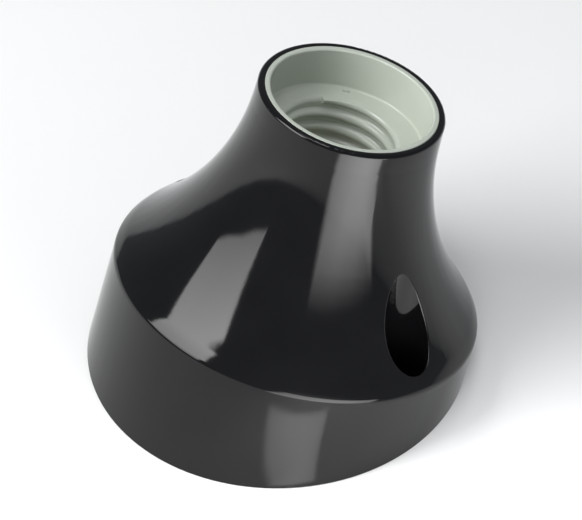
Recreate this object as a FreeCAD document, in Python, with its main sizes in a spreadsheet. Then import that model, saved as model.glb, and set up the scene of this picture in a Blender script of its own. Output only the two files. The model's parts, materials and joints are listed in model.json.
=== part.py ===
"""Angled batten lamp holder for one E27 lamp, built in millimetres.

Every piece is drawn about the bell's own axis and then tilted, so that the mounting plane is z = 0.
"""

import FreeCAD, Part
import math
import os
import Sketcher

SIZES = {
    # bell housing, heights measured along the bell's axis from the mounting plane
    "tilt": 15.6,
    "rim_height": 69.05,
    "rim_wall": 1.4,
    "rim_edge": 0.75,
    "neck_taper": 0.1,
    "neck_straight": 4.9,
    "shoulder_radius": 18.0,
    "shoulder_in": 15.4,
    "skirt_edge": 1.9,
    "skirt_radius": 41.3,
    "skirt_top": 16.85,
    "below": 22.0,
    "wall": 2.3,
    "hollow_start": 7.0,
    "hollow_end": 4.0,
    "hollow_rise": 1.9,
    "hollow_slope": 2.5,
    # screw wells and the screw holes in their floors
    "well_inset": 8.65,
    "well_radius": 6.1,
    "well_wall": 1.9,
    "well_floor": 4.6,
    "well_corner": 0.4,
    "well_edge": 0.3,
    "wall_screw_radius": 2.25,
    "seat_height": 2.4,
    "seat_radius": 4.1,
    # posts inside the bell that carry the insert
    "post_clear": 0.3,
    "post_radius": 4.1,
    "post_end": 39.0,
    "post_gap": 0.4,
    "bush_hole_radius": 2.9,
    "bush_hole_depth": 8.3,
    # threaded insert
    "collar_wall": 1.3,
    "collar_gap": 0.1,
    "collar_outer_edge": 0.25,
    "collar_inner_edge": 0.4,
    "ledge_depth": 9.5,
    "ledge_width": 5.05,
    "ledge_thickness": 2.2,
    "ledge_corner": 0.5,
    "lip_edge": 1.1,
    "root_radius": 13.2,
    "shell_wall": 2.4,
    "shell_end": 36.0,
    "thread_pitch": 3.629,
    "thread_drop": 0.2,
    "thread_clear": 1.55,
    "thread_turn": 66.0,
    "thread_embed": 0.9,
    "thread_overlap": 0.05,
    "thread_depth": 1.0,
    "thread_round": 1.025,
    "mark_in": 3.8,
    "mark_turn": 44.0,
    "mark_size": 0.95,
    "mark_height": 0.35,
    # ears of the insert and of the contact block
    "ear_half_width": 3.4,
    "ear_thickness": 3.0,
    "ear_hole_radius": 1.95,
    # contact block
    "block_clear": 0.3,
    "block_end": 26.0,
    "block_ear_end": 33.0,
    "pocket_in": 4.3,
    "pocket_half_width": 4.3,
    "pocket_top": 33.0,
    "rivet_in": 4.2,
    "rivet_hole_radius": 1.4,
    # terminals
    "terminal_in": 4.0,
    "terminal_length": 8.0,
    "terminal_half_width": 4.0,
    "terminal_end": 24.0,
    "terminal_edge": 0.4,
    "window_floor": 27.0,
    "window_height": 3.7,
    "window_half_width": 2.3,
    "screw_hole_radius": 1.95,
    "clamp_thickness": 0.8,
    "clamp_half_width": 1.95,
    "clamp_length": 6.6,
    "clamp_length_half": 3.3,
    "clamp_lift": 0.1,
    "clamp_dimple_radius": 1.1,
    "clamp_dimple_depth": 0.25,
    # screws
    "screw_radius": 1.6,
    "screw_head_radius": 2.9,
    "screw_head_thickness": 2.0,
    "screw_head_gap": 2.8,
    "slot_width": 0.8,
    "slot_width_half": 0.4,
    "slot_depth": 1.0,
    "fixing_head_radius": 3.2,
    "fixing_head_thickness": 2.2,
    "fixing_length": 12.5,
    "washer_radius": 3.3,
    "washer_hole": 1.95,
    "washer_thickness": 0.9,
    "washer_gap": 0.7,
    "bush_radius": 2.6,
    "bush_bore": 1.9,
    "bush_core": 1.0,
    "bush_length": 8.0,
    "bush_groove_depth": 0.3,
    "bush_length_half": 4.0,
    "bush_groove_half": 0.8,
    # contacts
    "strip_thickness": 0.5,
    "strip_half_width": 3.2,
    "strip_toe": 3.2,
    "strip_heel": 2.6,
    "strip_top_start": 2.9,
    "strip_rise": 3.6,
    "strip_top_end": 3.4,
    "strip_slack": 0.25,
    "tip_radius": 2.0,
    "tip_height": 0.5,
    "side_half_width": 2.3,
    "side_heel": 3.0,
    "side_clear": 0.8,
    "side_knee": 5.0,
    "side_reach": 1.0,
    "side_nose": 6.4,
    "side_end": 7.8,
    "rivet_radius": 1.2,
    "rivet_head_radius": 2.1,
    "rivet_head_height": 0.9,
    "rivet_length": 5.2,
}

X, Y, Z = FreeCAD.Vector(1, 0, 0), FreeCAD.Vector(0, 1, 0), FreeCAD.Vector(0, 0, 1)
ORIGIN = FreeCAD.Vector()
FIX = {"x": "DistanceX", "y": "DistanceY"}

# heights that several pieces share
LEDGE = "rim_height - ledge_depth"
LEDGE_BOTTOM = LEDGE + " - ledge_thickness"
POST_TOP = LEDGE_BOTTOM + " - post_gap"
THREAD_FOOT = "shell_end + side_end + thread_clear"
THREAD_FALL = LEDGE + " - thread_drop - shell_end - side_end - thread_clear"

# distances from the axis, built outwards from the thread, and inwards from the skirt
SHELL = "root_radius + shell_wall"
COLLAR_BORE = "root_radius + ledge_width"
COLLAR = COLLAR_BORE + " + collar_wall"
NECK_BORE = COLLAR + " + collar_gap"
RIM = NECK_BORE + " + rim_wall"
NECK = RIM + " + neck_taper"
THREAD_CREST = "root_radius - thread_depth"
POST = SHELL + " + post_clear + post_radius"
BLOCK = POST + " - washer_radius - block_clear"
RIVET = "root_radius - rivet_in"
TERMINAL = RIVET + " - terminal_in"
POCKET = RIVET + " - pocket_in"
SIDE_STAND = "root_radius - side_clear"
WELL = "skirt_radius - well_inset"


def make_sheet(doc):
    """One cell for each size, so that a size can be changed in the document."""
    sheet = doc.addObject("Spreadsheet::Sheet", "sizes")
    for row, (alias, value) in enumerate(SIZES.items(), 1):
        sheet.set(f"A{row}", alias)
        sheet.set(f"B{row}", str(value))
        sheet.setAlias(f"B{row}", alias)
    return sheet


def terms(text):
    """The signs and words of a sum such as LEDGE."""
    words = text.replace(" - ", " + -").split(" + ")
    return [(-1 if w.startswith("-") else 1, w.lstrip("-")) for w in words]


def number(text):
    """The value of a sum of sizes and plain numbers."""
    return sum(sign * (SIZES[word] if word in SIZES else float(word)) for sign, word in terms(text))


def minus(text):
    """The same sum with every sign turned round."""
    return " + ".join(("-" if sign > 0 else "") + word for sign, word in terms(text))


def formula(text):
    """The same sum, reading the sheet's cells."""
    parts = []
    for sign, word in terms(text):
        cell = "sizes." + word if word in SIZES else word
        parts.append(("-" if sign < 0 else "+") + cell)
    return " ".join(parts)


def bind(obj, **properties):
    """Tie each property of an object to a sum of sizes."""
    for name, text in properties.items():
        obj.setExpression(name, formula(text))


def put(obj, x="0", y="0", z="0"):
    """Place an object at a point given in sizes."""
    obj.Placement.Base = FreeCAD.Vector(number(x), number(y), number(z))
    for axis, text in zip("xyz", (x, y, z)):
        obj.setExpression(f".Placement.Base.{axis}", formula(text))
    return obj


def turn(obj, axis, angle):
    """Turn an object about an axis through its own base point by an angle given in sizes."""
    obj.Placement.Rotation = FreeCAD.Rotation(axis, number(angle))
    obj.setExpression(".Placement.Rotation.Axis.x", str(axis.x))
    obj.setExpression(".Placement.Rotation.Axis.y", str(axis.y))
    obj.setExpression(".Placement.Rotation.Axis.z", str(axis.z))
    obj.setExpression(".Placement.Rotation.Angle", formula(angle))
    return obj


def cylinder(doc, name, radius, height, x="0", y="0", z="0"):
    """An upright cylinder standing on the point given."""
    obj = doc.addObject("Part::Cylinder", name)
    bind(obj, Radius=radius, Height=height)
    return put(obj, x, y, z)


def box(doc, name, length, width, height, x="0", y="0", z="0"):
    """A box whose least corner is the point given."""
    obj = doc.addObject("Part::Box", name)
    bind(obj, Length=length, Width=width, Height=height)
    return put(obj, x, y, z)


def join(doc, name, shapes):
    obj = doc.addObject("Part::MultiFuse", name)
    obj.Shapes = shapes
    return obj


def cut(doc, name, base, tool):
    obj = doc.addObject("Part::Cut", name)
    obj.Base, obj.Tool = base, tool
    return obj


def mirror(doc, name, source, normal):
    """The same piece on the other side of a plane through the bell's axis."""
    obj = doc.addObject("Part::Mirroring", name)
    obj.Source, obj.Base, obj.Normal = source, ORIGIN, normal
    return obj


def origin_feature(body, role):
    return next(f for f in body.Origin.OriginFeatures if f.Role == role)


def new_sketch(doc, name, plane="XZ_Plane"):
    """A body with an empty sketch on one of its planes."""
    body = doc.addObject("PartDesign::Body", name)
    sketch = body.newObject("Sketcher::SketchObject", name + "_sketch")
    sketch.AttachmentSupport = [(origin_feature(body, plane), "")]
    sketch.MapMode = "FlatFace"
    return body, sketch


def constrain(sketch, kind, *where, size=None):
    """Add a constraint, bound to a size when one is given."""
    if size is None:
        return sketch.addConstraint(Sketcher.Constraint(kind, *where))
    index = sketch.addConstraint(Sketcher.Constraint(kind, *where, number(size)))
    sketch.setExpression(f"Constraints[{index}]", formula(size))
    return index


def pin(sketch, axis, element, end, size):
    """Hold one end of an element at a distance from the sketch's origin."""
    constrain(sketch, FIX[axis], -1, 1, element, end, size=size)


def line(sketch, start, end):
    return sketch.addGeometry(Part.LineSegment(FreeCAD.Vector(*start, 0), FreeCAD.Vector(*end, 0)), False)


def arc(sketch, centre, radius, start_deg, end_deg):
    circle = Part.Circle(FreeCAD.Vector(*centre, 0), Z, radius)
    return sketch.addGeometry(Part.ArcOfCircle(circle, math.radians(start_deg), math.radians(end_deg)), False)


def revolve(body, sketch, role="Z_Axis"):
    """Turn the sketch a full circle about the body's upright axis."""
    feature = body.newObject("PartDesign::Revolution", body.Name + "_turned")
    feature.Profile = sketch
    feature.ReferenceAxis = (origin_feature(body, role), [""])
    feature.Angle = 360
    sketch.Visibility = False
    return body


def pad(body, sketch, half_width):
    """Thicken the sketch to both sides of its plane."""
    feature = body.newObject("PartDesign::Pad", body.Name + "_pad")
    feature.Profile = sketch
    feature.Midplane = True
    feature.setExpression("Length", "2 * (" + formula(half_width) + ")")
    sketch.Visibility = False
    return body


def polygon(sketch, corners):
    """A closed outline of straight lines through corners given in sizes."""
    points = [(number(x), number(y)) for x, y in corners]
    count = len(points)
    for i in range(count):
        line(sketch, points[i], points[(i + 1) % count])
    for i, (x, y) in enumerate(corners):
        constrain(sketch, "Coincident", i - 1 if i else count - 1, 2, i, 1)
        pin(sketch, "x", i, 1, x)
        pin(sketch, "y", i, 1, y)


def square_outline(sketch, corners):
    """A closed outline of level and upright lines; each corner may be rounded."""
    count = len(corners)
    points = [(number(x), number(y), number(r)) for x, y, r in corners]
    ends = []
    for i in range(count):
        (x0, y0, r0), (x1, y1, r1) = points[i], points[(i + 1) % count]
        dx, dy = math.copysign(1, x1 - x0) if x1 != x0 else 0, math.copysign(1, y1 - y0) if y1 != y0 else 0
        ends.append(((x0 + dx * r0, y0 + dy * r0), (x1 - dx * r1, y1 - dy * r1)))
        line(sketch, *ends[-1])
        constrain(sketch, "Vertical" if dx == 0 else "Horizontal", i)
        pin(sketch, "x" if dx == 0 else "y", i, 1, corners[i][0] if dx == 0 else corners[i][1])
    for i in range(count):
        before = (i - 1) % count
        if points[i][2]:
            round_corner(sketch, points[i], ends[before], ends[i], (before, i), corners[i][2])
        else:
            constrain(sketch, "Coincident", before, 2, i, 1)


def round_corner(sketch, corner, before, after, lines, size):
    """An arc tangent to the two lines that meet at a corner."""
    start, end = before[1], after[0]
    centre = (start[0] + end[0] - corner[0], start[1] + end[1] - corner[1])
    a0 = math.degrees(math.atan2(start[1] - centre[1], start[0] - centre[0]))
    a1 = math.degrees(math.atan2(end[1] - centre[1], end[0] - centre[0]))
    forward = (a1 - a0) % 360 < 180
    low = a0 if forward else a1
    index = arc(sketch, centre, corner[2], low, low + 90)
    constrain(sketch, "Tangent", lines[0], 2, index, 1 if forward else 2)
    constrain(sketch, "Tangent", lines[1], 1, index, 2 if forward else 1)
    constrain(sketch, "Radius", index, size=size)


def bell_centres():
    """The centres of the flare and the shoulder: each circle touches the lines and circles beside it."""
    soft, edge = SIZES["shoulder_radius"], SIZES["skirt_edge"]
    neck = (number(NECK), number("rim_height - neck_straight"))
    corner = (number("skirt_radius - skirt_edge"), SIZES["skirt_top"])
    shoulder_x = number("skirt_radius - shoulder_in")
    shoulder = (shoulder_x, corner[1] - math.sqrt((soft - edge) ** 2 - (corner[0] - shoulder_x) ** 2))
    run, fall = SIZES["neck_taper"], number("neck_straight - rim_edge")
    normal = (fall / math.hypot(run, fall), run / math.hypot(run, fall))
    gap = (neck[0] - shoulder[0], neck[1] - shoulder[1])
    across = normal[0] * gap[0] + normal[1] * gap[1]
    flare = (gap[0] ** 2 + gap[1] ** 2 - soft ** 2) / (2 * (soft - across))
    return (neck[0] + normal[0] * flare, neck[1] + normal[1] * flare), flare, shoulder


def angle(centre, point):
    """The direction from a centre to a point, in degrees from 0 to 360."""
    return math.degrees(math.atan2(point[1] - centre[1], point[0] - centre[0])) % 360


def bell_outside(doc):
    """The bell's outer skin: a rim, a long hollow flare, a soft shoulder and a plain skirt."""
    body, sketch = new_sketch(doc, "bell_outside")
    rim, top = number(RIM), SIZES["rim_height"]
    edge, low = SIZES["rim_edge"], -SIZES["below"]
    skirt, skirt_top = SIZES["skirt_radius"], SIZES["skirt_top"]
    neck = (number(NECK), top - SIZES["neck_straight"])
    corner = (skirt - SIZES["skirt_edge"], skirt_top)
    flare, flare_radius, shoulder = bell_centres()
    line(sketch, (0, low), (0, top))
    line(sketch, (0, top), (rim - edge, top))
    arc(sketch, (rim - edge, top - edge), edge, 0, 90)
    line(sketch, (rim, top - edge), neck)
    arc(sketch, flare, flare_radius, angle(flare, neck), angle(flare, shoulder))
    arc(sketch, shoulder, SIZES["shoulder_radius"], angle(shoulder, corner), angle(shoulder, flare))
    arc(sketch, corner, SIZES["skirt_edge"], 0, angle(shoulder, corner))
    line(sketch, (skirt, skirt_top), (skirt, low))
    line(sketch, (skirt, low), (0, low))
    for first, end, second, start in ((0, 2, 1, 1), (7, 2, 8, 1), (8, 2, 0, 1)):
        constrain(sketch, "Coincident", first, end, second, start)
    for joint in ((1, 2, 2, 2), (2, 1, 3, 1), (3, 2, 4, 1), (4, 2, 5, 2), (5, 1, 6, 2), (6, 1, 7, 1)):
        constrain(sketch, "Tangent", *joint)
    for upright, level in ((0, 1), (7, 8)):
        constrain(sketch, "Vertical", upright)
        constrain(sketch, "Horizontal", level)
    constrain(sketch, "PointOnObject", 0, 1, -2)
    pin(sketch, "y", 0, 2, "rim_height")
    pin(sketch, "x", 2, 1, RIM)
    pin(sketch, "x", 3, 2, NECK)
    pin(sketch, "y", 3, 2, "rim_height - neck_straight")
    pin(sketch, "x", 5, 3, "skirt_radius - shoulder_in")
    pin(sketch, "x", 7, 1, "skirt_radius")
    pin(sketch, "y", 7, 1, "skirt_top")
    pin(sketch, "y", 7, 2, "-below")
    for index, size in ((2, "rim_edge"), (5, "shoulder_radius"), (6, "skirt_edge")):
        constrain(sketch, "Radius", index, size=size)
    return revolve(body, sketch)


def bell_hollow(doc):
    """The space inside the bell: a plain bore in the neck that widens smoothly to the skirt."""
    body, sketch = new_sketch(doc, "bell_hollow")
    bore, inner, low = number(NECK_BORE), number("skirt_radius - wall"), number("-below - 2")
    top = number("rim_height + 2")
    start = (bore, number("rim_height - hollow_start"))
    end = (number("skirt_radius - hollow_end"), number("skirt_top + hollow_rise"))
    radius = ((end[0] - start[0]) ** 2 + (end[1] - start[1]) ** 2) / (2 * (end[0] - start[0]))
    centre = (start[0] + radius, start[1])
    slope = end[1] - SIZES["hollow_slope"]
    line(sketch, (0, low), (0, top))
    line(sketch, (0, top), (bore, top))
    line(sketch, (bore, top), start)
    arc(sketch, centre, radius, 180, angle(centre, end))
    line(sketch, end, (inner, slope))
    line(sketch, (inner, slope), (inner, low))
    line(sketch, (inner, low), (0, low))
    for first, second in ((0, 1), (1, 2), (3, 4), (4, 5), (5, 6), (6, 0)):
        constrain(sketch, "Coincident", first, 2, second, 1)
    constrain(sketch, "Tangent", 2, 2, 3, 1)
    for upright in (0, 2, 5):
        constrain(sketch, "Vertical", upright)
    for level in (1, 6):
        constrain(sketch, "Horizontal", level)
    constrain(sketch, "PointOnObject", 0, 1, -2)
    pin(sketch, "y", 0, 2, "rim_height + 2")
    pin(sketch, "y", 0, 1, "-below - 2")
    pin(sketch, "x", 2, 1, NECK_BORE)
    pin(sketch, "y", 2, 2, "rim_height - hollow_start")
    pin(sketch, "x", 3, 2, "skirt_radius - hollow_end")
    pin(sketch, "y", 3, 2, "skirt_top + hollow_rise")
    pin(sketch, "x", 5, 1, "skirt_radius - wall")
    constrain(sketch, "DistanceY", 4, 2, 4, 1, size="hollow_slope")
    return revolve(body, sketch)


def wall_side(doc, name, radius, height, down):
    """A disc square to the mounting plane, standing on it or hanging below it."""
    disc = cylinder(doc, name, radius, height)
    if not down:
        return turn(disc, Y, "-tilt")
    return turn(disc, Y, "180 - tilt")


def well_bore(doc, name, y):
    """One screw well: a blind hole along the bell's axis, with a small round where its floor begins."""
    bore = cylinder(doc, name + "_bore", "well_radius", "60", y=y, z="well_floor")
    doc.recompute()
    rounded = doc.addObject("Part::Fillet", name)
    rounded.Base = bore
    heights = [edge.BoundBox.ZMax for edge in bore.Shape.Edges]
    foot = heights.index(min(heights)) + 1
    rounded.Edges = [(foot, SIZES["well_corner"], SIZES["well_corner"])]
    return rounded


def well_pieces(doc, side):
    """The tube around one screw well, the well, the screw head's seat in its floor and the screw hole."""
    y = WELL if side > 0 else minus(WELL)
    end = "near" if side < 0 else "far"
    tube = cylinder(doc, "well_tube_" + end, "well_radius + well_wall", "below + 60", y=y, z="-below")
    well = well_bore(doc, "well_" + end, y)
    sink = turn(cylinder(doc, "seat_sink_" + end, "seat_radius", "well_floor + 1.4", y=y), Y, "-tilt")
    under = wall_side(doc, "under_seat_" + end, "skirt_radius + 20", "seat_height", False)
    seat = cut(doc, "seat_" + end, sink, under)
    hole = turn(cylinder(doc, "wall_screw_hole_" + end, "wall_screw_radius", "well_floor", y=y), Y, "-tilt")
    return tube, well, seat, hole


def post_pieces(doc, side):
    """One post for the insert and the blind hole for its brass bush."""
    x = POST if side > 0 else minus(POST)
    end = "right" if side > 0 else "left"
    post = cylinder(doc, "post_" + end, "post_radius", POST_TOP + " - post_end", x=x, z="post_end")
    hole = cylinder(doc, "bush_hole_" + end, "bush_hole_radius", "bush_hole_depth + 1", x=x, z="post_end - 1")
    return post, hole


def well_rims(shape):
    """The numbers of the edges where the wells break through the bell's skin."""
    found = []
    for number_, edge in enumerate(shape.Edges, 1):
        start, stop = edge.FirstParameter, edge.LastParameter
        ends = [edge.valueAt(start + (stop - start) * k / 8) for k in range(9)]
        away = [math.hypot(p.x, abs(p.y) - number(WELL)) for p in ends]
        on_well = max(abs(a - SIZES["well_radius"]) for a in away) < 0.01
        straight = edge.Curve.TypeId == "Part::GeomLine"
        if on_well and not straight and min(p.z for p in ends) > SIZES["skirt_top"]:
            found.append(number_)
    return found


def housing(doc):
    """The one-piece black moulding: hollow bell, two screw wells and two posts for the insert."""
    wells = [well_pieces(doc, side) for side in (-1, 1)]
    posts = [post_pieces(doc, side) for side in (-1, 1)]
    kept = join(doc, "inner_walls", [piece[0] for piece in wells + posts])
    space = cut(doc, "inner_space", bell_hollow(doc), kept)
    shell = cut(doc, "bell_shell", bell_outside(doc), space)
    below = wall_side(doc, "below_wall", "skirt_radius + 40", "below + 60", True)
    holes = join(doc, "all_holes", [p for w in wells for p in w[1:]] + [p[1] for p in posts] + [below])
    trimmed = cut(doc, "bell_trimmed", shell, holes)
    doc.recompute()
    rims = well_rims(trimmed.Shape)
    body = doc.addObject("Part::Fillet", "housing")
    body.Base = trimmed
    body.Edges = [(index, SIZES["well_edge"], SIZES["well_edge"]) for index in rims]
    return body


def thread_profile(doc):
    """One ridge of the E27 thread: a round crest that runs into two hollow flanks."""
    body, sketch = new_sketch(doc, "thread_profile")
    back, foot = number("root_radius + thread_embed"), number("root_radius + thread_overlap")
    high, size, half = 1.51, SIZES["thread_round"], SIZES["thread_pitch"] / 2
    crest = (number(THREAD_CREST + " + thread_round"), 0)
    line(sketch, (back, -high), (back, high))
    line(sketch, (back, high), (foot, high))
    arc(sketch, (crest[0] - 0.954, half), size, -62.3, -17.2)
    arc(sketch, crest, size, 117.7, 242.3)
    arc(sketch, (crest[0] - 0.954, -half), size, 17.2, 62.3)
    line(sketch, (foot, -high), (back, -high))
    for first, end, second, start in ((0, 2, 1, 1), (1, 2, 2, 2), (4, 1, 5, 1), (5, 2, 0, 1)):
        constrain(sketch, "Coincident", first, end, second, start)
    constrain(sketch, "Tangent", 2, 1, 3, 1)
    constrain(sketch, "Tangent", 3, 2, 4, 2)
    constrain(sketch, "Vertical", 0)
    constrain(sketch, "Horizontal", 1)
    constrain(sketch, "Horizontal", 5)
    pin(sketch, "x", 0, 1, "root_radius + thread_embed")
    pin(sketch, "x", 3, 3, THREAD_CREST + " + thread_round")
    constrain(sketch, "PointOnObject", 3, 3, -1)
    for index in (2, 3, 4):
        constrain(sketch, "Radius", index, size="thread_round")
    for index, end, sign in ((2, 2, ""), (4, 1, "-")):
        pin(sketch, "x", index, end, "root_radius + thread_overlap")
        level = sketch.addConstraint(Sketcher.Constraint("DistanceY", -1, 1, index, 3, half if not sign else -half))
        sketch.setExpression(f"Constraints[{level}]", sign + "sizes.thread_pitch / 2")
    return sketch


def thread_ridge(doc):
    """The ridge wound right-handed down the insert from a blunt start level with the ledge."""
    helix = doc.addObject("Part::Helix", "thread_path")
    bind(helix, Pitch="thread_pitch", Height=THREAD_FALL, Radius="root_radius")
    ridge = doc.addObject("Part::Sweep", "thread_wound")
    ridge.Sections = [thread_profile(doc)]
    ridge.Spine = (helix, ["Edge1"])
    ridge.Solid = True
    ridge.Frenet = True
    put(ridge, z=THREAD_FOOT)
    turn(ridge, Z, "thread_turn")
    wound = "360 * (" + formula(THREAD_FALL) + ") / sizes.thread_pitch"
    ridge.setExpression(".Placement.Rotation.Angle", "sizes.thread_turn - " + wound)
    inside = doc.addObject("Part::Common", "thread_ridge")
    inside.Base = ridge
    inside.Tool = cylinder(doc, "thread_limit", "root_radius + lip_edge", LEDGE + " - shell_end", z="shell_end")
    return inside


def ledge_mark(doc):
    """The small three-cornered moulding mark on the insert's ledge."""
    mark = doc.addObject("Part::Prism", "ledge_mark")
    mark.Polygon = 3
    bind(mark, Circumradius="mark_size", Height="mark_height + ledge_thickness")
    put(mark, z=LEDGE_BOTTOM)
    away = "(" + formula("root_radius + mark_in") + ")"
    mark.setExpression(".Placement.Base.x", away + " * cos(sizes.mark_turn * 1 deg)")
    mark.setExpression(".Placement.Base.y", away + " * sin(sizes.mark_turn * 1 deg)")
    return turn(mark, Z, "mark_turn")


def ears(doc, name, thickness, z):
    """Two round-ended ears to either side of the axis."""
    bar = box(doc, name + "_bar", POST + " + " + POST, "ear_half_width + ear_half_width", thickness,
              x=minus(POST), y="-ear_half_width", z=z)
    ends = [cylinder(doc, name + "_end_" + way, "ear_half_width", thickness, x=x, z=z)
            for way, x in (("left", minus(POST)), ("right", POST))]
    return [bar] + ends


def ear_holes(doc, name, z):
    """The two clearance holes for the fixing screws."""
    return [cylinder(doc, name + way, "ear_hole_radius", "ear_thickness + 2", x=x, z=z)
            for way, x in (("left", minus(POST)), ("right", POST))]


def insert(doc):
    """The pale moulding: collar, ledge and threaded shell in one, with two ears for its screws."""
    body, sketch = new_sketch(doc, "insert_turned")
    square_outline(sketch, [
        ("root_radius", "shell_end", "0"),
        (SHELL, "shell_end", "0"),
        (SHELL, LEDGE_BOTTOM, "0"),
        (COLLAR, LEDGE_BOTTOM, "0"),
        (COLLAR, "rim_height", "collar_outer_edge"),
        (COLLAR_BORE, "rim_height", "collar_inner_edge"),
        (COLLAR_BORE, LEDGE, "ledge_corner"),
        ("root_radius", LEDGE, "lip_edge"),
    ])
    revolve(body, sketch)
    inside = cylinder(doc, "insert_inside", "root_radius", "ear_thickness + 2", z="shell_end - 1")
    bars = cut(doc, "insert_ears", join(doc, "insert_ear_bars", ears(doc, "insert_ear", "ear_thickness", "shell_end")),
               inside)
    solid = join(doc, "insert_solid", [body, bars, ledge_mark(doc)])
    plain = cut(doc, "insert_plain", solid, join(doc, "insert_holes", ear_holes(doc, "insert_hole_", "shell_end - 1")))
    threaded = doc.addObject("Part::Fuse", "threaded_insert")
    threaded.Base, threaded.Tool = plain, thread_ridge(doc)
    return threaded


def contact_block(doc):
    """The block under the threaded shell that carries both contacts and both terminals."""
    drum = cylinder(doc, "block_drum", BLOCK, "shell_end - block_end", z="block_end")
    solid = join(doc, "block_solid", [drum] + ears(doc, "block_ear", "shell_end - block_ear_end", "block_ear_end"))
    holes = ear_holes(doc, "block_hole_", "block_ear_end - 1")
    for side, name in ((1, "far"), (-1, "near")):
        y = POCKET if side > 0 else minus(BLOCK) + " - 2"
        length = BLOCK + " + 2 + " + minus(POCKET)
        holes.append(box(doc, "pocket_" + name, "pocket_half_width + pocket_half_width", length,
                         "pocket_top - block_end + 2", x="-pocket_half_width", y=y, z="block_end - 2"))
        y = RIVET if side > 0 else minus(RIVET)
        holes.append(cylinder(doc, "block_rivet_hole_" + name, "rivet_hole_radius", "10", y=y, z="pocket_top - 4"))
    return cut(doc, "contact_block", solid, join(doc, "block_holes", holes))


def terminal_body(doc, name):
    """A brass terminal: a tunnel for the wire, a tapped hole below it and a rivet hole above."""
    block = box(doc, name + "_block", "terminal_half_width + terminal_half_width", "terminal_length",
                "pocket_top - terminal_end", x="-terminal_half_width", y=TERMINAL, z="terminal_end")
    window = box(doc, name + "_window", "window_half_width + window_half_width", "terminal_length + 2",
                 "window_height", x="-window_half_width", y=TERMINAL + " - 1", z="window_floor")
    tapped = cylinder(doc, name + "_tapped", "screw_hole_radius", "window_floor - terminal_end + 2",
                      y=RIVET, z="terminal_end - 1")
    rivet = cylinder(doc, name + "_rivet_hole", "rivet_hole_radius", "5", y=RIVET,
                     z="window_floor + window_height - 1")
    return cut(doc, name, block, join(doc, name + "_holes", [window, tapped, rivet]))


def clamp_plate(doc, name):
    """The loose plate that a terminal screw presses on to the wire."""
    plate = box(doc, name + "_plate", "clamp_half_width + clamp_half_width", "clamp_length", "clamp_thickness",
                x="-clamp_half_width", y=RIVET + " - clamp_length_half", z="window_floor + clamp_lift")
    dimple = cylinder(doc, name + "_dimple", "clamp_dimple_radius", "clamp_dimple_depth + 1", y=RIVET,
                      z="window_floor + clamp_lift + clamp_thickness - clamp_dimple_depth")
    return cut(doc, name, plate, dimple)


def slotted_screw(doc, name, head_radius, head_thickness, length, head_top, x="0", y="0"):
    """A slot-headed screw that points up the bell's axis."""
    shank = cylinder(doc, name + "_shank", "screw_radius", length + " + 0.2", x=x, y=y, z=head_top + " - 0.2")
    head = cylinder(doc, name + "_head", head_radius, head_thickness, x=x, y=y, z=f"{head_top} - {head_thickness}")
    slot = box(doc, name + "_slot", f"{head_radius} + {head_radius} + 2", "slot_width", "slot_depth + 1",
               x=f"{x} - {head_radius} - 1", y=f"{y} - slot_width_half",
               z=f"{head_top} - {head_thickness} - 1")
    return cut(doc, name, join(doc, name + "_solid", [shank, head]), slot)


def terminal_screw(doc, name):
    """The screw below a terminal, just touching its clamp plate."""
    return slotted_screw(doc, name, "screw_head_radius", "screw_head_thickness",
                         "window_floor + clamp_lift - terminal_end + screw_head_gap",
                         "terminal_end - screw_head_gap", y=RIVET)


def fixing_screw(doc, name, side):
    """A screw that clamps the contact block and the insert to one post."""
    x = POST if side > 0 else minus(POST)
    return slotted_screw(doc, name, "fixing_head_radius", "fixing_head_thickness",
                         "fixing_length", "block_ear_end - washer_thickness", x=x)


def spring_washer(doc, name, side):
    """A split ring between the fixing screw's head and the contact block."""
    x, z = POST if side > 0 else minus(POST), "block_ear_end - washer_thickness"
    ring = cylinder(doc, name + "_ring", "washer_radius", "washer_thickness", x=x, z=z)
    hole = cylinder(doc, name + "_hole", "washer_hole", "washer_thickness + 2", x=x, z=z + " - 1")
    gap = box(doc, name + "_gap", "washer_gap", "washer_radius + 1", "washer_thickness + 2", x=x, z=z + " - 1")
    return cut(doc, name, ring, join(doc, name + "_open", [hole, gap]))


def threaded_bush(doc, name, side):
    """A grooved brass bush moulded into a post for the fixing screw."""
    body, sketch = new_sketch(doc, name + "_turned")
    middle = "post_end + bush_length_half"
    x = POST if side > 0 else minus(POST)
    square_outline(sketch, [
        ("bush_core", "post_end", "0"),
        ("bush_radius", "post_end", "0"),
        ("bush_radius", middle + " - bush_groove_half", "0"),
        ("bush_radius - bush_groove_depth", middle + " - bush_groove_half", "0"),
        ("bush_radius - bush_groove_depth", middle + " + bush_groove_half", "0"),
        ("bush_radius", middle + " + bush_groove_half", "0"),
        ("bush_radius", "post_end + bush_length", "0"),
        ("bush_core", "post_end + bush_length", "0"),
    ])
    put(revolve(body, sketch), x=x)
    return cut(doc, name, body, cylinder(doc, name + "_bore", "bush_bore", "bush_length + 2", x=x, z="post_end - 1"))


def centre_contact(doc):
    """A strip riveted to the block that springs up to the lamp's centre point."""
    body, sketch = new_sketch(doc, "centre_strip", "YZ_Plane")
    low, high = "shell_end", "shell_end + strip_rise"
    polygon(sketch, [
        (minus(RIVET) + " - strip_toe", low),
        (minus(RIVET) + " + strip_heel", low),
        ("-strip_top_start", high),
        ("strip_top_end", high),
        ("strip_top_end", high + " + strip_thickness"),
        ("-strip_top_start - strip_slack", high + " + strip_thickness"),
        (minus(RIVET) + " + strip_heel - strip_slack", low + " + strip_thickness"),
        (minus(RIVET) + " - strip_toe", low + " + strip_thickness"),
    ])
    pad(body, sketch, "strip_half_width")
    tip = cylinder(doc, "centre_tip", "tip_radius", "tip_height + strip_thickness", z=high)
    hole = cylinder(doc, "centre_rivet_hole", "rivet_hole_radius", "4", y=minus(RIVET), z="shell_end - 1")
    return cut(doc, "centre_contact", join(doc, "centre_solid", [body, tip]), hole)


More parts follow.
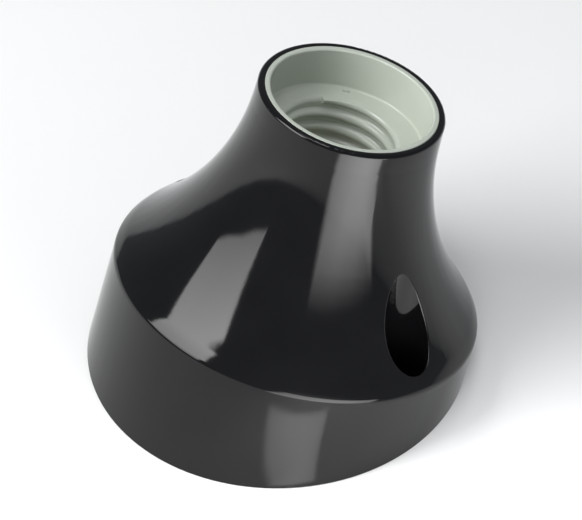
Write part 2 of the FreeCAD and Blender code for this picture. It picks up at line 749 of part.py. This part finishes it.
def side_contact(doc):
    """A strip riveted to the block that stands up to touch the side of the lamp's cap."""
    body, sketch = new_sketch(doc, "side_strip", "YZ_Plane")
    low = "shell_end"
    polygon(sketch, [
        (RIVET + " - side_heel", low),
        (SIDE_STAND, low),
        (SIDE_STAND, low + " + side_knee"),
        (SIDE_STAND + " - side_reach", low + " + side_nose"),
        (SIDE_STAND, low + " + side_end"),
        (SIDE_STAND + " - strip_thickness", low + " + side_end"),
        (SIDE_STAND + " - side_reach - strip_thickness", low + " + side_nose"),
        (SIDE_STAND + " - strip_thickness", low + " + side_knee"),
        (SIDE_STAND + " - strip_thickness", low + " + strip_thickness"),
        (RIVET + " - side_heel", low + " + strip_thickness"),
    ])
    pad(body, sketch, "side_half_width")
    hole = cylinder(doc, "side_rivet_hole", "rivet_hole_radius", "4", y=RIVET, z="shell_end - 1")
    return cut(doc, "side_contact", body, hole)


def contact_rivet(doc, name):
    """A rivet through a contact strip and the block into its terminal."""
    head = cylinder(doc, name + "_head", "rivet_head_radius", "rivet_head_height", y=RIVET,
                    z="shell_end + strip_thickness")
    shank = cylinder(doc, name + "_shank", "rivet_radius", "rivet_length", y=RIVET,
                     z="shell_end + strip_thickness - rivet_length + 0.2")
    return join(doc, name, [head, shank])


def pair_across(doc, make, name_far, name_near):
    """A piece on the +Y side and its mirror image on the -Y side."""
    first = make(doc, name_far)
    return {name_far: first, name_near: mirror(doc, name_near, first, Y)}


def build(doc):
    """Every piece of the lamp holder by name."""
    pieces = {"housing": housing(doc), "threaded_insert": insert(doc), "contact_block": contact_block(doc)}
    pieces["centre_contact"] = centre_contact(doc)
    pieces["side_contact"] = side_contact(doc)
    for make, name in (
        (terminal_body, "terminal_body"),
        (clamp_plate, "clamp_plate"),
        (terminal_screw, "terminal_screw"),
        (contact_rivet, "contact_rivet"),
    ):
        pieces.update(pair_across(doc, make, "neutral_" + name, "line_" + name))
    for side, way in ((-1, "left"), (1, "right")):
        pieces[way + "_fixing_screw"] = fixing_screw(doc, way + "_fixing_screw", side)
        pieces[way + "_spring_washer"] = spring_washer(doc, way + "_spring_washer", side)
        pieces[way + "_threaded_bush"] = threaded_bush(doc, way + "_threaded_bush", side)
    return pieces


def tilt_piece(piece):
    """Lean a finished piece with the bell's axis; a mirror image leans with its source."""
    if piece.TypeId == "Part::Mirroring":
        return
    piece.Placement = FreeCAD.Placement(ORIGIN, FreeCAD.Rotation(Y, SIZES["tilt"]))
    piece.setExpression(".Placement.Rotation.Angle", "sizes.tilt")


def check(doc):
    """Stop if any object did not build, or if the thread is missing from the insert."""
    for obj in doc.Objects:
        if "Invalid" in obj.State or "Error" in obj.State:
            raise ValueError(f"{obj.Name} did not build: {obj.State}")
    plain, ridge, threaded = [doc.getObject(name).Shape.Volume for name in
                              ("insert_plain", "thread_ridge", "threaded_insert")]
    if threaded < plain + 0.1 * ridge:
        raise ValueError("the thread did not join the insert")


def export(pieces):
    """Write one STEP file for each piece."""
    os.makedirs("parts", exist_ok=True)
    for name, piece in pieces.items():
        piece.Label = name
        if not piece.Shape.isValid() or len(piece.Shape.Solids) != 1:
            raise ValueError(f"{name} is not one sound solid")
        piece.Shape.exportStep(f"parts/{name}.step")


def main():
    doc = FreeCAD.newDocument("lamp_holder")
    make_sheet(doc)
    doc.recompute()
    pieces = build(doc)
    for piece in pieces.values():
        tilt_piece(piece)
    doc.recompute()
    check(doc)
    export(pieces)


main()
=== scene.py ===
"""Angled batten lamp holder: materials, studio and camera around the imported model."""
import json
import math

import bpy
from mathutils import Matrix, Vector


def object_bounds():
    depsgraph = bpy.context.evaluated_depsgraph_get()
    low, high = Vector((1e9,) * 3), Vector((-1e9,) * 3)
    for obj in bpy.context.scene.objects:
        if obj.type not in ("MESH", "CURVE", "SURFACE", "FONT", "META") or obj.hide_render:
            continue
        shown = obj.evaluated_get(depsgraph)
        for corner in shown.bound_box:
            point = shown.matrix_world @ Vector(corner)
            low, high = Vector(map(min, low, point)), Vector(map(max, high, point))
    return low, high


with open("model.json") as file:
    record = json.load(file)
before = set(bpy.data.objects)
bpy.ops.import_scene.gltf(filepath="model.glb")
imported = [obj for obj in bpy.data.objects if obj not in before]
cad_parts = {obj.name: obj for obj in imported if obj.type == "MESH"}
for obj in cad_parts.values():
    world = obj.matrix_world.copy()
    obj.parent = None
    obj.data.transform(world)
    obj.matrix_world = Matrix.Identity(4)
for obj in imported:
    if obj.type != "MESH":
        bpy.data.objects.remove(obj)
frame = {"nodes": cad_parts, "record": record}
cad_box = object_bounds()
nodes = frame["nodes"]

# the way from the object to the camera, the camera's turn about it, and its distance
CAMERA_ELEVATION = 46.42
CAMERA_AZIMUTH = -133.60
CAMERA_ROLL = 2.913
CAMERA_DISTANCE = 1.9965
LENS = 557.15
AIM_RIGHT, AIM_UP = 0.00293, 0.01974


def material(name, colour, rough, metallic=0.0, ior=1.5):
    """A principled material with its noise nodes still to come."""
    mat = bpy.data.materials.new(name)
    mat.use_nodes = True
    shader = mat.node_tree.nodes["Principled BSDF"]
    shader.inputs["Base Color"].default_value = (*colour, 1.0)
    shader.inputs["Roughness"].default_value = rough
    shader.inputs["Metallic"].default_value = metallic
    shader.inputs["IOR"].default_value = ior
    return mat, shader


def noise(mat, scale, detail=3.0, stretch=(1.0, 1.0, 1.0)):
    """A noise value that follows the object's own coordinates."""
    tree = mat.node_tree
    place = tree.nodes.new("ShaderNodeTexCoord")
    spread = tree.nodes.new("ShaderNodeMapping")
    spread.inputs["Scale"].default_value = stretch
    grain = tree.nodes.new("ShaderNodeTexNoise")
    grain.inputs["Scale"].default_value = scale
    grain.inputs["Detail"].default_value = detail
    tree.links.new(place.outputs["Object"], spread.inputs["Vector"])
    tree.links.new(spread.outputs["Vector"], grain.inputs["Vector"])
    return grain.outputs["Fac"]


def ramp(mat, value, low, high, start=0.3, end=0.7):
    """Two colours or greys mixed by a value."""
    node = mat.node_tree.nodes.new("ShaderNodeValToRGB")
    stops = node.color_ramp.elements
    stops[0].position, stops[1].position = start, end
    stops[0].color, stops[1].color = (*low, 1.0), (*high, 1.0)
    mat.node_tree.links.new(value, node.inputs["Fac"])
    return node.outputs["Color"]


def scaled(mat, value, low, high):
    """A value between 0 and 1 moved to between low and high."""
    node = mat.node_tree.nodes.new("ShaderNodeMapRange")
    node.inputs["To Min"].default_value = low
    node.inputs["To Max"].default_value = high
    mat.node_tree.links.new(value, node.inputs["Value"])
    return node.outputs["Result"]


def bump(mat, shader, height, strength, distance):
    """Small relief on the shader's normal."""
    node = mat.node_tree.nodes.new("ShaderNodeBump")
    node.inputs["Strength"].default_value = strength
    node.inputs["Distance"].default_value = distance
    mat.node_tree.links.new(height, node.inputs["Height"])
    mat.node_tree.links.new(node.outputs["Normal"], shader.inputs["Normal"])


def moulding(name, dark, light, rough, ior, grain, depth, gloss=0.5):
    """Moulded plastic: faint cloudiness in its colour and gloss, and a very fine orange peel."""
    mat, shader = material(name, light, rough, ior=ior)
    shader.inputs["Specular IOR Level"].default_value = gloss
    links = mat.node_tree.links
    links.new(ramp(mat, noise(mat, 60.0), dark, light), shader.inputs["Base Color"])
    links.new(scaled(mat, noise(mat, 35.0, 5.0), rough * 0.8, rough * 1.2), shader.inputs["Roughness"])
    bump(mat, shader, noise(mat, grain, 2.0), 0.35, depth)
    return mat


def metal(name, dark, light, rough, stretch):
    """Worked metal: fine drawn lines in its gloss and relief."""
    mat, shader = material(name, light, rough, metallic=1.0)
    links = mat.node_tree.links
    lines = noise(mat, 900.0, 4.0, stretch)
    links.new(ramp(mat, noise(mat, 250.0), dark, light), shader.inputs["Base Color"])
    links.new(scaled(mat, lines, rough * 0.7, rough * 1.35), shader.inputs["Roughness"])
    bump(mat, shader, lines, 0.3, 0.00004)
    return mat


MATERIALS = {
    "black_moulding": moulding("black_gloss_moulding", (0.0028, 0.0028, 0.0032), (0.0045, 0.0045, 0.005),
                               0.07, 1.42, 700.0, 0.00001, gloss=0.42),
    "pale_moulding": moulding("pale_gloss_moulding", (0.49, 0.525, 0.46), (0.53, 0.565, 0.5),
                              0.22, 1.5, 900.0, 0.00001),
    "block_ceramic": moulding("glazed_ceramic", (0.68, 0.65, 0.58), (0.76, 0.73, 0.67),
                              0.35, 1.52, 500.0, 0.00004),
    "spring_brass": metal("sprung_brass", (0.66, 0.49, 0.22), (0.8, 0.62, 0.32), 0.28, (1.0, 0.1, 1.0)),
    "terminal_brass": metal("turned_brass", (0.62, 0.46, 0.22), (0.74, 0.57, 0.29), 0.33, (1.0, 1.0, 0.1)),
    "rivet_brass": metal("pressed_brass", (0.66, 0.5, 0.25), (0.77, 0.61, 0.33), 0.3, (1.0, 1.0, 1.0)),
    "bush_brass": metal("knurled_brass", (0.62, 0.46, 0.22), (0.74, 0.57, 0.29), 0.36, (0.2, 0.2, 1.0)),
    "screw_steel": metal("zinc_plated_screw", (0.52, 0.52, 0.54), (0.66, 0.66, 0.68), 0.3, (1.0, 1.0, 0.15)),
    "plated_steel": metal("zinc_plated_sheet", (0.5, 0.5, 0.51), (0.63, 0.63, 0.64), 0.34, (0.15, 1.0, 1.0)),
}

for part in frame["record"]["subparts"]:
    made = nodes[part["node"]]
    for place in made.material_slots:
        place.material = MATERIALS[part["material_slot"]]


def direction(azimuth, elevation):
    """A unit vector from two angles in degrees."""
    a, e = math.radians(azimuth), math.radians(elevation)
    return Vector((math.cos(e) * math.cos(a), math.cos(e) * math.sin(a), math.sin(e)))


def flat_mesh(name, corners, mat, visible=True):
    """One face through four corners, as part of the studio."""
    mesh = bpy.data.meshes.new(name)
    mesh.from_pydata([tuple(c) for c in corners], [], [(0, 1, 2, 3)])
    uv = mesh.uv_layers.new(name="place")
    for loop, at in zip(uv.data, ((0, 0), (1, 0), (1, 1), (0, 1))):
        loop.uv = at
    mesh.materials.append(mat)
    obj = bpy.data.objects.new(name, mesh)
    bpy.context.scene.collection.objects.link(obj)
    obj.visible_camera = visible
    return obj


def eased(tree, value, start, end, low=0.0):
    """A value that climbs smoothly from low to 1 between two places."""
    node = tree.nodes.new("ShaderNodeMapRange")
    node.interpolation_type = "SMOOTHSTEP"
    node.inputs["From Min"].default_value = start
    node.inputs["From Max"].default_value = end
    node.inputs["To Min"].default_value = low
    tree.links.new(value, node.inputs["Value"])
    return node.outputs["Result"]


def light_card(name, corners, bottom, top, fades, middle=1.0):
    """A soft light panel that the camera doesn't see.

    Its light goes from one level at the bottom to another at the top, and dies away over a share of
    its size at the left, the right, the bottom and the top. A middle below 1 dims its two sides.
    """
    mat = bpy.data.materials.new(name)
    mat.use_nodes = True
    tree = mat.node_tree
    tree.nodes.clear()
    place = tree.nodes.new("ShaderNodeUVMap")
    split = tree.nodes.new("ShaderNodeSeparateXYZ")
    tree.links.new(place.outputs["UV"], split.inputs["Vector"])
    across, along = split.outputs["X"], split.outputs["Y"]
    level = tree.nodes.new("ShaderNodeMapRange")
    level.inputs["To Min"].default_value, level.inputs["To Max"].default_value = bottom, top
    tree.links.new(along, level.inputs["Value"])
    left_fade, right_fade, low_fade, high_fade = fades
    shares = [
        eased(tree, across, 0.0, left_fade),
        eased(tree, across, 1.0, 1.0 - right_fade),
        eased(tree, along, 0.0, low_fade),
        eased(tree, along, 1.0, 1.0 - high_fade),
        eased(tree, across, 0.0, 0.45, middle),
        eased(tree, across, 1.0, 0.55, middle),
    ]
    total = level.outputs["Result"]
    for share in shares:
        both = tree.nodes.new("ShaderNodeMath")
        both.operation = "MULTIPLY"
        tree.links.new(total, both.inputs[0])
        tree.links.new(share, both.inputs[1])
        total = both.outputs["Value"]
    glow = tree.nodes.new("ShaderNodeEmission")
    clear = tree.nodes.new("ShaderNodeBsdfTransparent")
    film = tree.nodes.new("ShaderNodeAddShader")
    out = tree.nodes.new("ShaderNodeOutputMaterial")
    tree.links.new(total, glow.inputs["Strength"])
    tree.links.new(glow.outputs["Emission"], film.inputs[0])
    tree.links.new(clear.outputs["BSDF"], film.inputs[1])
    tree.links.new(film.outputs["Shader"], out.inputs["Surface"])
    return flat_mesh(name, corners, mat, visible=False)


# the studio: a pale floor, a dim room, panels at the left, low in front and overhead, and a low strip
floor_mat, floor_shader = material("pale_paper_floor", (0.84, 0.84, 0.84), 0.9)
paper = ramp(floor_mat, noise(floor_mat, 8.0), (0.83, 0.83, 0.83), (0.85, 0.85, 0.85))
floor_mat.node_tree.links.new(paper, floor_shader.inputs["Base Color"])
floor_shader.inputs["Specular IOR Level"].default_value = 0.0
FLOOR_HALF = 3.0
low = cad_box[0][2] - 0.0002
floor_corners = [(x * FLOOR_HALF, y * FLOOR_HALF, low) for x, y in ((-1, -1), (1, -1), (1, 1), (-1, 1))]
flat_mesh("floor", floor_corners, floor_mat)

world = bpy.data.worlds.new("room")
bpy.context.scene.world = world
world.use_nodes = True
world.node_tree.nodes["Background"].inputs["Color"].default_value = (0.9, 0.95, 1.0, 1.0)
world.node_tree.nodes["Background"].inputs["Strength"].default_value = 0.27


def seen_from(point, relative, elevation, reach):
    """A corner of a panel, by its direction from a point, relative to the camera's azimuth."""
    return Vector(point) + direction(CAMERA_AZIMUTH + relative, elevation) * reach


LEFT_CORNERS = ((-93, 16), (-50, 15), (-46, 60), (-106, 60))
left_corners = [seen_from((-0.025, 0.0, 0.033), rel, el, 1.0) for rel, el in LEFT_CORNERS]
light_card("left_panel", left_corners, 4.0, 10.8, (0.05, 0.05, 0.08, 0.1))

FRONT_REACH = 0.115
FRONT_LEVEL = 7.2
light_card("front_panel", [
    seen_from((0.001, -0.012, 0.067), -18, -28, FRONT_REACH),
    seen_from((0.009, -0.019, 0.067), 38, -33, FRONT_REACH),
    seen_from((0.001, -0.027, 0.035), 61, 8, FRONT_REACH),
    seen_from((-0.013, -0.022, 0.035), 11, 38, FRONT_REACH),
], FRONT_LEVEL, FRONT_LEVEL, (0.1, 0.1, 0.12, 0.45), middle=0.6)

TOP_HALF, TOP_HEIGHT, TOP_LEVEL = 0.4, 1.3, 4.4
top_corners = [(x * TOP_HALF, y * TOP_HALF, TOP_HEIGHT) for x, y in ((-1, -1), (1, -1), (1, 1), (-1, 1))]
light_card("top_panel", top_corners, TOP_LEVEL, TOP_LEVEL, (0.3, 0.3, 0.3, 0.3))

# just above the floor in front of the skirt, whose gloss shows it as an upright streak
STRIP_LEVEL = 1.6
STRIP_CORNERS = ((-0.031, -0.030), (-0.021, -0.038), (-0.030, -0.070), (-0.072, -0.058))
strip_corners = [(x, y, low + 0.0004) for x, y in STRIP_CORNERS]
light_card("low_strip", strip_corners, STRIP_LEVEL, STRIP_LEVEL, (0.12, 0.12, 0.02, 0.1), middle=0.7)

# the camera
back = direction(CAMERA_AZIMUTH, CAMERA_ELEVATION)
side = Vector((-math.sin(math.radians(CAMERA_AZIMUTH)), math.cos(math.radians(CAMERA_AZIMUTH)), 0.0))
up = back.cross(side)
roll = math.radians(CAMERA_ROLL)
right = side * math.cos(roll) + up * math.sin(roll)
above = up * math.cos(roll) - side * math.sin(roll)
where = back * CAMERA_DISTANCE
look = (where - right * AIM_RIGHT - above * AIM_UP).normalized()
right = (right - look * right.dot(look)).normalized()
above = look.cross(right)
lens = bpy.data.cameras.new("camera")
lens.lens = LENS
lens.clip_start, lens.clip_end = 0.05, 20.0
camera = bpy.data.objects.new("camera", lens)
camera.matrix_world = Matrix((
    (right.x, above.x, look.x, where.x),
    (right.y, above.y, look.y, where.y),
    (right.z, above.z, look.z, where.z),
    (0.0, 0.0, 0.0, 1.0),
))
bpy.context.scene.collection.objects.link(camera)
bpy.context.scene.camera = camera
bpy.context.scene.view_settings.view_transform = "Standard"
